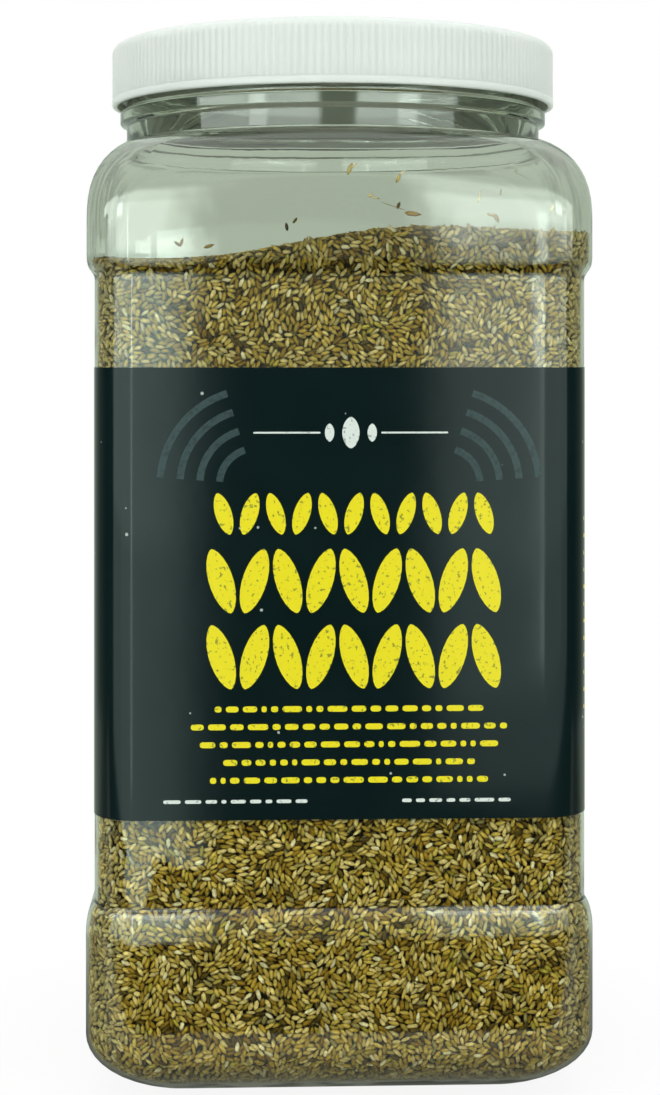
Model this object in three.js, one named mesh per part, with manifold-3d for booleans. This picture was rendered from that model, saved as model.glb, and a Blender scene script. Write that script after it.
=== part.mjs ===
// A square one-gallon jar of switchgrass seed: a clear jar with a threaded neck, its ribbed screw
// lid and liner, a label wrapped round the sunken panel, and the seed inside.
// Millimetres, +Z up. The origin is the middle of the foot, and the front face looks along -Y.
import * as THREE from "three";
import { mergeVertices } from "three/addons/utils/BufferGeometryUtils.js";
import Module from "manifold-3d";

const wasm = await Module();
wasm.setup();

// Jar body. A half is the distance from the axis to a face, a corner is a plan radius.
const UPPER_HALF = 65.3;
const UPPER_CORNER = 13;
const LOWER_HALF = 65.6;
const LOWER_CORNER = 15;
const PANEL_HALF = 63.3;
const PANEL_CORNER = 11.8;
const WALL = 1;
const GAP = 0.3; // clearance between neighbouring pieces
const FILL_GAP = 0.7; // between the jar's wall and the grains that stand out furthest

// Heights on the jar
const FOOT_TOP_Z = 17.5; // the rounded foot ends here
const LOWER_STEP_Z = [45.5, 53];
const UPPER_STEP_Z = [212.2, 217];
const SHOULDER_Z = [226.8, 250.6];
const BEAD_Z = [255, 256.5, 259.8, 260.3]; // from the neck out to the bead, and back
const RIM_Z = 275;

// Foot: a flat standing ring round a pushed-up middle
const FOOT_HALF = 37;
const FOOT_CORNER = 5;
const FOOT_POWER = 1.85; // 2 would be a true ellipse, less is flatter
const PUSH_UP_OUTER_HALF = 33;
const PUSH_UP_INNER_HALF = 23;
const PUSH_UP_HEIGHT = 5.5;

// Neck and screw thread
const NECK_RADIUS = 58;
const NECK_WALL = 1.3;
const BEAD_RADIUS = 59.8;
const SHOULDER_POWER = 2.5; // how square the shoulder's curve is
const PITCH = 5.08;
const THREAD_START_Z = 263.6; // the middle of the jar's thread where it starts
const JAR_THREAD = { crest: 59.4, root: 57.2, height: 2, turns: [0, 1.2] };
const LID_THREAD = { crest: 58.5, root: 61, height: 1.6, turns: [0.28, 1.4] };
const THREAD_DROP = 2.15; // the lid's thread runs this far under the jar's
const THREAD_STEPS_PER_TURN = 48;
const THREAD_FADE = 0.06; // share of a turn over which an end runs out
const CREST_SHARE = 0.55; // the crest's height over the root's

// Lid
const LID_BOTTOM_Z = 261.4;
const LID_TOP_Z = 278.5;
const LID_WALL_RADIUS = 61.5;
const LID_INNER_RADIUS = 60.4;
const LID_LIP_RADIUS = 62.1;
const LID_LIP_HEIGHT = 2;
const LID_PLATE = 1.8;
const LID_EDGE = 2.6; // the rounded top edge
const LID_SIDES = 56;
const RIB_COUNT = 100;
const RIB_CREST_RADIUS = 62;
const RIB_VALLEY_RADIUS = 61.3;
const RIB_TOP_Z = 276.3;

// Liner
const LINER_RADIUS = 59.8;
const LINER_THICKNESS = 1;

// Label
const LABEL_Z = [74.6, 189];
const LABEL_THICKNESS = 0.5;
const LABEL_SEAM = 3; // the gap between its ends, at the middle of the back

// Seed: coarse pointed grains raised from the surface of the filling
const SEED_ROW = 3.8; // the rows' pitch where the seed shows
const SEED_HIDDEN_ROW = 15.2; // and where the label covers it
const SEED_RELIEF = 2.4;
const SEED_SCATTER = 0.28; // share of a grain's pitch by which its points stray
const SEED_LOW_Z = 215.4; // the surface at the left
const SEED_HIGH_Z = 224.8; // and at the right
const SEED_SLOPE_X = [-50, 22]; // where it climbs from one to the other
const SEED_DIP = 1.4; // how far it falls again towards the right-hand wall
const SEED_MOUND = 1.2; // how much higher the middle stands than the walls

// How finely an outline is cut: steps along half a face, and round a corner
const JAR_STEPS = { face: 4, corner: 4 };
const SEED_STEPS = { face: 7, corner: 2 };
const SEED_TOP_STEPS = 18;

const { lerp, smoothstep } = THREE.MathUtils;
const scatter = seededRandom(7);

// Repeatable random numbers from -1 to 1.
function seededRandom(seed) {
  let state = seed;
  return () => {
    state = (state * 16807) % 2147483647;
    return (2 * state) / 2147483647 - 1;
  };
}

// A rounded square as points, anticlockwise from the middle of the back face.
function square(half, corner, steps = JAR_STEPS) {
  const straight = half - corner;
  const widest = Math.atan(straight / half);
  const points = [];
  for (let side = 0; side < 4; side++) {
    const out = new THREE.Vector2(0, 1).rotateAround(new THREE.Vector2(), (side * Math.PI) / 2);
    const along = out.clone().rotateAround(new THREE.Vector2(), Math.PI / 2);
    const place = (n, t) => points.push(out.clone().multiplyScalar(n).addScaledVector(along, t));
    for (let i = 0; i < steps.face; i++) place(half, half * Math.tan((widest * i) / steps.face));
    for (let i = 0; i <= steps.corner; i++) {
      const angle = (Math.PI / 2) * (i / steps.corner);
      place(straight + corner * Math.cos(angle), straight + corner * Math.sin(angle));
    }
    for (let i = steps.face - 1; i > 0; i--) place(half * Math.tan((widest * i) / steps.face), half);
  }
  return points;
}

// A circle whose points lie in the directions of the upper body's points.
function circle(radius) {
  return square(UPPER_HALF, UPPER_CORNER).map((p) => p.setLength(radius));
}

// The corner of a square on the jar's floor, which shrinks with the square.
function floorCorner(half) {
  return (half * FOOT_CORNER) / FOOT_HALF;
}

function ring(outline, z) {
  return outline.map((p) => new THREE.Vector3(p.x, p.y, z));
}

// A closed body through a list of rings that all have the same number of points. The first and the
// last ring are closed flat. Diagonals alternate, so that every other point can stand out as a peak.
function loft(rings) {
  const count = rings[0].length;
  const points = rings.flat();
  const first = points.push(middle(rings[0])) - 1;
  const last = points.push(middle(rings.at(-1))) - 1;
  const faces = [];
  for (let i = 0; i < count; i++) {
    const next = (i + 1) % count;
    faces.push(first, next, i);
    for (let r = 0; r + 1 < rings.length; r++) {
      const [a, b] = [r * count + i, r * count + next];
      const [c, d] = [b + count, a + count];
      if ((r + i) % 2) faces.push(a, b, c, a, c, d);
      else faces.push(a, b, d, b, c, d);
    }
    const end = (rings.length - 1) * count;
    faces.push(end + i, end + next, last);
  }
  const geometry = new THREE.BufferGeometry().setFromPoints(points);
  return geometry.setIndex(faces);
}

function middle(points) {
  const sum = points.reduce((total, p) => total.add(p), new THREE.Vector3());
  return sum.divideScalar(points.length);
}

function solid(geometry) {
  const bare = geometry.clone();
  bare.deleteAttribute("normal");
  bare.deleteAttribute("uv");
  const merged = mergeVertices(bare, 1e-4);
  const vertProperties = merged.attributes.position.array;
  const triVerts = new Uint32Array(merged.index.array);
  return new wasm.Manifold(new wasm.Mesh({ numProp: 3, vertProperties, triVerts }));
}

function geometryOf(manifold) {
  const mesh = manifold.getMesh();
  const geometry = new THREE.BufferGeometry();
  geometry.setAttribute("position", new THREE.BufferAttribute(mesh.vertProperties, 3));
  geometry.setIndex(new THREE.BufferAttribute(mesh.triVerts, 1));
  return geometry;
}

// ---- Jar ----

// The foot's curve from the standing ring to the wall, as a share from 0 to 1.
function footLevel(share) {
  const turn = (share * Math.PI) / 2;
  const out = Math.sin(turn) ** (2 / FOOT_POWER);
  const up = 1 - Math.cos(turn) ** (2 / FOOT_POWER);
  return { half: lerp(FOOT_HALF, LOWER_HALF, out), corner: lerp(FOOT_CORNER, LOWER_CORNER, out), up };
}

// A body's levels from the foot to the start of the shoulder, moved in by inset.
// Steps move by as much again, so that the wall keeps its thickness on them.
function bodyLevels(inset) {
  const levels = [];
  const add = (half, corner, z) => levels.push({ half: half - inset, corner: corner - inset, z });
  for (const share of [0, 0.25, 0.5, 0.75, 1]) {
    const foot = footLevel(share);
    add(foot.half, foot.corner, lerp(inset, FOOT_TOP_Z, foot.up));
  }
  for (const share of [0, 0.6, 0.9, 1]) {
    const fall = 1 - Math.sqrt(1 - share ** 2);
    const z = lerp(...LOWER_STEP_Z, share) - inset;
    add(lerp(LOWER_HALF, PANEL_HALF, fall), lerp(LOWER_CORNER, PANEL_CORNER, fall), z);
  }
  for (const share of [1, 0.9, 0.6, 0]) {
    const fall = 1 - Math.sqrt(1 - share ** 2);
    const z = lerp(UPPER_STEP_Z[1], UPPER_STEP_Z[0], share) + inset;
    add(lerp(UPPER_HALF, PANEL_HALF, fall), lerp(UPPER_CORNER, PANEL_CORNER, fall), z);
  }
  add(UPPER_HALF, UPPER_CORNER, SHOULDER_Z[0]);
  return levels;
}

// The shoulder, from the square body to the round neck.
function shoulderRings(inset, neckRadius) {
  const body = square(UPPER_HALF - inset, UPPER_CORNER - inset);
  const neck = circle(neckRadius);
  return [0.3, 0.55, 0.75, 0.88, 0.96, 1].map((share) => {
    const fall = 1 - Math.sqrt(1 - share ** SHOULDER_POWER);
    const outline = body.map((p, i) => p.clone().lerp(neck[i], fall));
    return ring(outline, lerp(SHOULDER_Z[0], SHOULDER_Z[1] - inset, share));
  });
}

// A screw thread as a ridge along a helix. Its ends run out into the wall that it stands on.
function threadRidge({ crest, root, height, turns }, startZ) {
  const [from, to] = turns;
  const steps = Math.round((to - from) * THREAD_STEPS_PER_TURN);
  const outward = Math.sign(crest - root);
  const rings = [];
  for (let i = 0; i <= steps; i++) {
    const turn = lerp(from, to, i / steps);
    const full = Math.min(1, (turn - from) / THREAD_FADE, (to - turn) / THREAD_FADE);
    const top = lerp(root + 0.2 * outward, crest, Math.max(full, 0));
    const z = startZ + PITCH * turn;
    const at = (radius, up) => {
      const angle = turn * 2 * Math.PI;
      return new THREE.Vector3(radius * Math.cos(angle), radius * Math.sin(angle), z + up);
    };
    const corners = [
      at(root, -height / 2),
      at(root, height / 2),
      at(top, (height * CREST_SHARE) / 2),
      at(top, (-height * CREST_SHARE) / 2),
    ];
    rings.push(outward > 0 ? corners : corners.reverse());
  }
  return solid(loft(rings));
}

function jarGeometry() {
  const levelRing = ({ half, corner, z }) => ring(square(half, corner), z);
  const pushUp = (half) => square(half, floorCorner(half));
  const innerNeck = NECK_RADIUS - NECK_WALL;
  const rings = [
    ring(pushUp(PUSH_UP_INNER_HALF), PUSH_UP_HEIGHT),
    ring(pushUp(PUSH_UP_OUTER_HALF), 0),
    ...bodyLevels(0).map(levelRing),
    ...shoulderRings(0, NECK_RADIUS),
    ring(circle(NECK_RADIUS), BEAD_Z[0]),
    ring(circle(BEAD_RADIUS), BEAD_Z[1]),
    ring(circle(BEAD_RADIUS), BEAD_Z[2]),
    ring(circle(NECK_RADIUS), BEAD_Z[3]),
    ring(circle(NECK_RADIUS), RIM_Z),
    ring(circle(innerNeck), RIM_Z),
    ...shoulderRings(WALL, innerNeck).reverse(),
    ...bodyLevels(WALL).map(levelRing).reverse(),
    ring(pushUp(PUSH_UP_OUTER_HALF), WALL),
    ring(pushUp(PUSH_UP_INNER_HALF), PUSH_UP_HEIGHT + WALL),
  ];
  return geometryOf(solid(loft(rings)).add(threadRidge(JAR_THREAD, THREAD_START_Z)));
}

// ---- Lid and liner ----

// A body turned round the axis from a closed profile of radius and height.
function turned(profile, sides) {
  const points = profile.map(([radius, z]) => new THREE.Vector2(radius, z));
  return new THREE.LatheGeometry(points, sides).rotateX(Math.PI / 2);
}

function ribsGeometry() {
  const shape = new THREE.Shape();
  for (let i = 0; i < 2 * RIB_COUNT; i++) {
    const radius = i % 2 ? RIB_VALLEY_RADIUS : RIB_CREST_RADIUS;
    const angle = (Math.PI * i) / RIB_COUNT;
    const [x, y] = [radius * Math.cos(angle), radius * Math.sin(angle)];
    if (i) shape.lineTo(x, y);
    else shape.moveTo(x, y);
  }
  const hole = new THREE.Path().absarc(0, 0, (LID_WALL_RADIUS + LID_INNER_RADIUS) / 2, 0, 2 * Math.PI);
  shape.holes.push(hole);
  const bottom = LID_BOTTOM_Z + LID_LIP_HEIGHT / 2;
  const settings = { depth: RIB_TOP_Z - bottom, bevelEnabled: false, curveSegments: LID_SIDES / 2 };
  return new THREE.ExtrudeGeometry(shape, settings).translate(0, 0, bottom);
}

function lidGeometry() {
  const lipTop = LID_BOTTOM_Z + LID_LIP_HEIGHT;
  const underside = LID_TOP_Z - LID_PLATE;
  const edge = [0, 0.33, 0.67, 1].map((share) => {
    const turn = (share * Math.PI) / 2;
    const radius = LID_WALL_RADIUS - LID_EDGE * (1 - Math.cos(turn));
    return [radius, LID_TOP_Z - LID_EDGE * (1 - Math.sin(turn))];
  });
  const profile = [
    [0, underside],
    [LID_INNER_RADIUS, underside],
    [LID_INNER_RADIUS, LID_BOTTOM_Z],
    [LID_LIP_RADIUS, LID_BOTTOM_Z],
    [LID_LIP_RADIUS, lipTop],
    [LID_WALL_RADIUS, lipTop + GAP],
    ...edge,
    [0, LID_TOP_Z],
  ];
  const shell = solid(turned(profile, LID_SIDES)).add(solid(ribsGeometry()));
  return geometryOf(shell.add(threadRidge(LID_THREAD, THREAD_START_Z - THREAD_DROP)));
}

function linerGeometry() {
  const height = RIM_Z + GAP + LINER_THICKNESS / 2;
  const disc = new THREE.CylinderGeometry(LINER_RADIUS, LINER_RADIUS, LINER_THICKNESS, LID_SIDES);
  return disc.rotateX(Math.PI / 2).translate(0, 0, height);
}

// ---- Label ----

function labelGeometry() {
  const inner = square(PANEL_HALF + GAP, PANEL_CORNER + GAP);
  const outer = square(PANEL_HALF + GAP + LABEL_THICKNESS, PANEL_CORNER + GAP + LABEL_THICKNESS);
  const strip = (near, far) => [
    new THREE.Vector3(near.x, near.y, LABEL_Z[0]),
    new THREE.Vector3(near.x, near.y, LABEL_Z[1]),
    new THREE.Vector3(far.x, far.y, LABEL_Z[1]),
    new THREE.Vector3(far.x, far.y, LABEL_Z[0]),
  ];
  const rings = inner.map((near, i) => strip(near, outer[i]));
  const end = new THREE.Vector2(LABEL_SEAM / 2, 0);
  rings[0] = strip(inner[0].clone().sub(end), outer[0].clone().sub(end));
  rings.push(strip(inner[0].clone().add(end), outer[0].clone().add(end)));
  return loft(rings);
}

// ---- Seed ----

// The level of the seed at a place in the jar: low at the left, high at the right.
function seedLevel(x, y) {
  const climb = smoothstep(x, ...SEED_SLOPE_X);
  const dip = SEED_DIP * smoothstep(x, SEED_SLOPE_X[1], PANEL_HALF);
  const mound = SEED_MOUND * Math.cos((Math.PI * y) / (2 * UPPER_HALF));
  return lerp(SEED_LOW_Z, SEED_HIGH_Z, climb) - dip + mound;
}

// A level of the filling at a distance along the jar's inner wall, from the foot up.
// The narrowest level within a row is taken, so that no grain reaches into a step of the wall.
function fillLevel(levels, distance) {
  const at = (d) => {
    let left = d;
    for (let i = 0; i + 1 < levels.length; i++) {
      const [a, b] = [levels[i], levels[i + 1]];
      const length = Math.hypot(b.half - a.half, b.z - a.z);
      if (left <= length || i + 2 === levels.length) {
        const share = left / length;
        return { half: lerp(a.half, b.half, share), corner: a.corner, z: lerp(a.z, b.z, share) };
      }
      left -= length;
    }
  };
  const here = at(distance);
  if (here.z < FOOT_TOP_Z) return here;
  const half = Math.min(here.half, at(distance - SEED_ROW).half, at(distance + SEED_ROW).half);
  return { ...here, half, corner: Math.min(here.corner, PANEL_CORNER) };
}

// The filling's rows of grains over the jar's floor, from the middle out.
function floorRows() {
  const low = WALL + FILL_GAP;
  const high = low + PUSH_UP_HEIGHT;
  const row = (half, z) => ({ half, corner: floorCorner(half), z, floor: 1 });
  const raised = [0.33, 0.67, 1].map((share) => row(share * PUSH_UP_INNER_HALF, high));
  const slope = [0.5, 1].map((share) => {
    return row(lerp(PUSH_UP_INNER_HALF, PUSH_UP_OUTER_HALF, share), lerp(high, low, share));
  });
  return [...raised, ...slope];
}

// And its rows up the foot and the walls.
function wallRows() {
  const levels = bodyLevels(WALL + FILL_GAP);
  const rows = [];
  let distance = 0;
  let z = 0;
  while (z < SEED_HIGH_Z + 2 * SEED_ROW) {
    const level = fillLevel(levels, distance);
    z = level.z;
    rows.push({ ...level, floor: Math.max(0, 1 - z / FOOT_TOP_Z) });
    const hidden = z > LABEL_Z[0] + SEED_ROW && z < LABEL_Z[1] - SEED_HIDDEN_ROW;
    distance += hidden ? SEED_HIDDEN_ROW : SEED_ROW;
  }
  return rows;
}

// The filling's floor and sides. Every other point stands out, and the ones between are sunk by
// the relief: upwards on the floor, and inwards on the walls.
function fillSides() {
  const rings = [...floorRows(), ...wallRows()].map(({ half, corner, z, floor }, row) => {
    const outline = square(half, corner, SEED_STEPS);
    const stray = floor ? 0 : SEED_SCATTER;
    return outline.map((p, i) => {
      const sunk = (row + i) % 2 ? SEED_RELIEF * (1 + SEED_SCATTER * scatter()) : 0;
      const next = outline[(i + 1) % outline.length];
      const moved = p.clone().lerp(next, stray * Math.abs(scatter()));
      moved.multiplyScalar(1 - (sunk * (1 - floor)) / moved.length());
      return new THREE.Vector3(moved.x, moved.y, z + sunk * floor + stray * SEED_ROW * scatter());
    });
  });
  return solid(loft(rings));
}

// Everything under the seed's surface, which is raised in grains too.
function fillTop() {
  const across = SEED_TOP_STEPS;
  const deep = Math.round((2 * LOWER_HALF) / SEED_ROW);
  const rings = [];
  for (let row = 0; row <= deep; row++) {
    const y = lerp(-LOWER_HALF, LOWER_HALF, row / deep);
    const top = [];
    const bottom = [];
    for (let i = 0; i <= across; i++) {
      const x = lerp(-LOWER_HALF, LOWER_HALF, i / across);
      const sunk = (row + i) % 2 ? SEED_RELIEF : 0;
      const strayed = x + (SEED_SCATTER * scatter() * 2 * LOWER_HALF) / across;
      const level = seedLevel(x, y) - sunk * (1 + SEED_SCATTER * scatter());
      top.push(new THREE.Vector3(strayed, y, level));
      bottom.unshift(new THREE.Vector3(x, y, -SEED_ROW));
    }
    rings.push([...top, ...bottom]);
  }
  return solid(loft(rings));
}

function seedGeometry() {
  return geometryOf(fillSides().intersect(fillTop()));
}

// ---- The object ----

function piece(name, geometry, color, roughness, opacity = 1) {
  const look = { color, roughness, metalness: 0, opacity, transparent: opacity < 1 };
  const mesh = new THREE.Mesh(geometry, new THREE.MeshStandardMaterial(look));
  mesh.name = name;
  return mesh;
}

const jarOfSeed = new THREE.Group();
jarOfSeed.add(
  piece("jar", jarGeometry(), "#b4c3b0", 0.08, 0.3),
  piece("lid", lidGeometry(), "#dfe8e2", 0.45),
  piece("liner", linerGeometry(), "#f0f0ec", 0.8),
  piece("label", labelGeometry(), "#101d25", 0.35),
  piece("seed_fill", seedGeometry(), "#a98b4d", 0.7),
);

export default jarOfSeed;
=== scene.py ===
import math

import bpy
import numpy as np
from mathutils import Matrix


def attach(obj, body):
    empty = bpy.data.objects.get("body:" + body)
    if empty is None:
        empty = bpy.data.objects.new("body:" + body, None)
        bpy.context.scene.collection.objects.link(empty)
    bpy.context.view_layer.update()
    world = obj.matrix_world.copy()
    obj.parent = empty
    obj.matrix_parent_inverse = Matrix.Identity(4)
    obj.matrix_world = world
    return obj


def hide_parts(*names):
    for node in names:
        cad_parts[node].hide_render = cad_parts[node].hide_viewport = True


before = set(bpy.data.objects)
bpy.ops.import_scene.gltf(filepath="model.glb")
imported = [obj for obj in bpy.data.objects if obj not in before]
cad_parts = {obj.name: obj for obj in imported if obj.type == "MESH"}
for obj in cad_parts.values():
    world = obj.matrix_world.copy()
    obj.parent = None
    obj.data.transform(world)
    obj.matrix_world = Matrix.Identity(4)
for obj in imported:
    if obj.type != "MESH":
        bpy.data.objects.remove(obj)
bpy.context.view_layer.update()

# A square one-gallon jar of switchgrass seed: clear jar, screw lid, liner, label and loose seed.
# Lengths are in millimetres until a mesh is made. +Z is up, and the front face looks along -Y.
MM = 0.001
random = np.random.default_rng(11)
scene = bpy.context.scene

# Jar body. A half is the distance from the axis to a face, a corner is a plan radius.
UPPER = (65.3, 13.0)
LOWER = (65.6, 15.0)
PANEL = (63.3, 11.8)
FOOT = (37.0, 5.0)
FOOT_TOP_Z = 17.5
FOOT_POWER = 1.85
LOWER_STEP_Z = (43.8, 52.2)
LOWER_STEP = (
    (0.0, 0.0), (0.1, 0.01), (0.2, 0.035), (0.3, 0.075), (0.4, 0.13), (0.5, 0.2), (0.6, 0.285),
    (0.69, 0.385), (0.77, 0.5), (0.83, 0.61), (0.88, 0.71), (0.92, 0.81), (0.95, 0.89),
    (0.975, 0.955), (1.0, 1.0), (1.05, 1.0))
UPPER_STEP_Z = (217.6, 211.4)
UPPER_STEP = (
    (0.0, 0.0), (0.12, 0.01), (0.24, 0.045), (0.36, 0.115), (0.46, 0.225), (0.54, 0.36),
    (0.61, 0.50), (0.68, 0.65), (0.75, 0.79), (0.82, 0.90), (0.9, 0.97), (1.0, 1.0), (1.06, 1.0))
SHOULDER_Z = (226.8, 250.6)
SHOULDER_POWER = 2.5
WALL = 0.6
FILLET = 0.5
PUSH_UP = (20.0, 33.0)  # the raised floor falls between these halves
PUSH_UP_HEIGHT = 5.5

# Neck and thread
NECK_RADIUS = 58.0
NECK_WALL = 1.3
BEAD_RADIUS = 59.8
BEAD_Z = (255.8, 256.6, 259.8, 260.3)
RIM_Z = 275.0
RIM_ROUND = 0.5
PITCH = 5.08
THREAD_START_Z = 263.6
THREAD_CREST = 59.4
THREAD_HALF_HEIGHT = 1.0
THREAD_CREST_SHARE = 0.55
THREAD_TURNS = 1.2
THREAD_FADE = 0.06

# Lid and liner
LID_BOTTOM_Z = 261.4
LID_TOP_Z = 278.5
LID_INNER_RADIUS = 60.4
LIP_RADIUS = 62.1
LIP_TOP_Z = 263.4
LID_PLATE = 1.8
LID_EDGE = 2.6
RIBS = 200
RIB_SAMPLES = 4
RIB_RADIUS = (61.72, 62.0)
RIB_TOP_Z = 276.0
RIB_FADE = 1.7  # how fast the ribs run out over the lid's rounded edge
LID_THREAD_RADIUS = (60.9, 58.5)  # root and crest
LID_THREAD_HALF_HEIGHT = 0.8
LID_THREAD_START_Z = 261.45
LID_THREAD_TURNS = (0.28, 1.4)
LINER_RADIUS = 59.7
LINER_Z = (275.3, 276.3)

# Label
LABEL_Z = (74.6, 189.0)
LABEL_HALF = 63.36
LABEL_CORNER = 11.86
LABEL_THICKNESS = 0.1
LABEL_OVERLAP = 9.0
LABEL_CLIMB = (6.0, 1.0)  # where its last end climbs over its first, before the middle
LABEL_SAMPLES = 420
PRINT_THICKNESS = 0.02
DASH_LENGTHS = (1.2, 5.2)
DASH_GAP = 1.1

# Seed
SEED_LOW_Z = 215.4
SEED_HIGH_Z = 224.8
SEED_SLOPE_X = (-50.0, 22.0)
SEED_DIP = 1.4
SEED_MOUND = 1.2
SEED_SIZE = np.array([2.88, 1.17, 0.96])  # length, width and thickness
SEED_SPREAD = (0.28, 0.11, 0.08)
SEED_AREA = 2.65  # surface for each grain of the outer layer
DEEP_AREA = 4.2
SEED_GAP = 0.08  # between the outer grains and the jar's wall
BAND_LOW_TOP = 78.0  # the lower visible band of grains ends behind the label
BAND_HIGH_BOTTOM = 185.5
# Painted light and shade on the wall's grains: the lower band is coloured brighter, and the upper band
# darker as if the lid shaded it
PAINTED_BAND_LIGHT = {"lower": 1.14, "upper": 0.8}
CORE_DEPTH = 3.0
CORE_DROP = 2.3  # under the filling's top
CORE_TOP_Z = 208.0  # its walls' top
TOP_CLEARANCE = 0.4  # between the wall's grains and the filling's top
# How widely the headings and tilts of grains vary, on the wall and on the top
WALL_TURN, WALL_TILT = 0.45, 0.13
TOP_TURN, TOP_TILT = 0.9, 0.22
SETTLE_ROUNDS = 24

# How finely outlines are cut: steps along half a face and round a corner, and whole circles
FACE_STEPS = 14
CORNER_STEPS = 22
LINER_SIDES = 128
FLOOR_SIDES = 96


# ---- Outlines and lofts ----

def lerp(a, b, t):
    return a + (b - a) * t


def unit(vectors):
    return vectors / np.linalg.norm(vectors, axis=1)[:, None]


def smoothstep(x, low, high):
    t = np.clip((x - low) / (high - low), 0, 1)
    return t * t * (3 - 2 * t)


def perimeter(half, corner):
    return 8 * (half - corner) + math.tau * corner


def on_outline(distance, half, corner):
    """Points and outward directions on a rounded square, at distances anticlockwise from the
    middle of the front face."""
    straight = half - corner
    arc = math.pi / 2 * corner
    quarter = 2 * straight + arc
    run = np.asarray(distance, float) + 2 * quarter
    side = np.floor(run / quarter)
    t = run - side * quarter
    angle = np.clip((t - straight) / corner, 0, math.pi / 2)
    out, along = np.cos(angle), np.sin(angle)
    n = np.where(t > straight + arc, quarter - t, straight + corner * out)
    a = np.where(t < straight, t, straight + corner * along)
    turn = side * math.pi / 2
    away = np.stack([-np.sin(turn), np.cos(turn)], -1)
    left = np.stack([-away[..., 1], away[..., 0]], -1)
    place = n[..., None] * away + a[..., None] * left
    normal = out[..., None] * away + along[..., None] * left
    return place, normal


def square(half, corner, face=FACE_STEPS, turn=CORNER_STEPS):
    """A rounded square as points, anticlockwise from the middle of the back face."""
    straight = half - corner
    quarter = perimeter(half, corner) / 4
    first = half * np.tan(math.atan(straight / half) * np.arange(face) / face)
    bend = straight + math.pi / 2 * corner * np.arange(turn + 1) / turn
    steps = np.concatenate([first, bend, quarter - first[:0:-1]])
    distance = (steps + quarter * np.arange(-2, 2)[:, None]).ravel()
    return on_outline(distance, half, corner)[0]


DIRECTIONS = unit(square(*UPPER))


def circle(radius):
    """A circle whose points lie in the directions of the upper body's points."""
    return DIRECTIONS * radius


def ring(outline, z):
    return np.c_[outline, np.full(len(outline), z)]


def fan(pole, a, b):
    """Triangles from a pole to the points of a ring."""
    return np.stack([np.full(len(a), pole), a, b], 1)


def loft(rings):
    """Points and faces of a closed body through rings from its first pole to its last."""
    count = len(rings[0])
    points = np.concatenate([*rings, [rings[0].mean(0)], [rings[-1].mean(0)]])
    i = np.arange(count)
    after = (i + 1) % count
    starts = np.arange(len(rings) - 1)[:, None] * count
    quads = np.stack([starts + i, starts + after, starts + after + count, starts + i + count], -1)
    end = (len(rings) - 1) * count
    caps = [fan(end + count, after, i), fan(end + count + 1, end + i, end + after)]
    return points, [quads.reshape(-1, 4), *caps]


def add_object(name, data):
    thing = bpy.data.objects.new(name, data)
    scene.collection.objects.link(thing)
    return thing


def make_piece(name, points, faces, material, slot, body="jar", replaces=(), tone=None,
               smooth=True):
    """A mesh object from millimetre points, riding on a body."""
    mesh = bpy.data.meshes.new(name)
    mesh.vertices.add(len(points))
    mesh.vertices.foreach_set("co", (np.asarray(points) * MM).astype(np.float32).ravel())
    corners = np.concatenate([f.ravel() for f in faces]).astype(np.int32)
    sizes = np.concatenate([np.full(len(f), f.shape[1]) for f in faces])
    mesh.loops.add(len(corners))
    mesh.loops.foreach_set("vertex_index", corners)
    mesh.polygons.add(len(sizes))
    mesh.polygons.foreach_set("loop_start", (np.cumsum(sizes) - sizes).astype(np.int32))
    mesh.update(calc_edges=True)
    mesh.polygons.foreach_set("use_smooth", np.full(len(sizes), smooth))
    if tone is not None:
        layer = mesh.attributes.new("tone", "FLOAT_COLOR", "POINT")
        colours = np.c_[tone, np.ones(len(tone))].astype(np.float32)
        layer.data.foreach_set("color", colours.ravel())
    mesh.materials.append(material)
    piece = add_object(name, mesh)
    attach(piece, body)
    if replaces:
        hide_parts(*replaces)


# ---- Materials ----

def grey(value):
    return (value, value, value)


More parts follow.
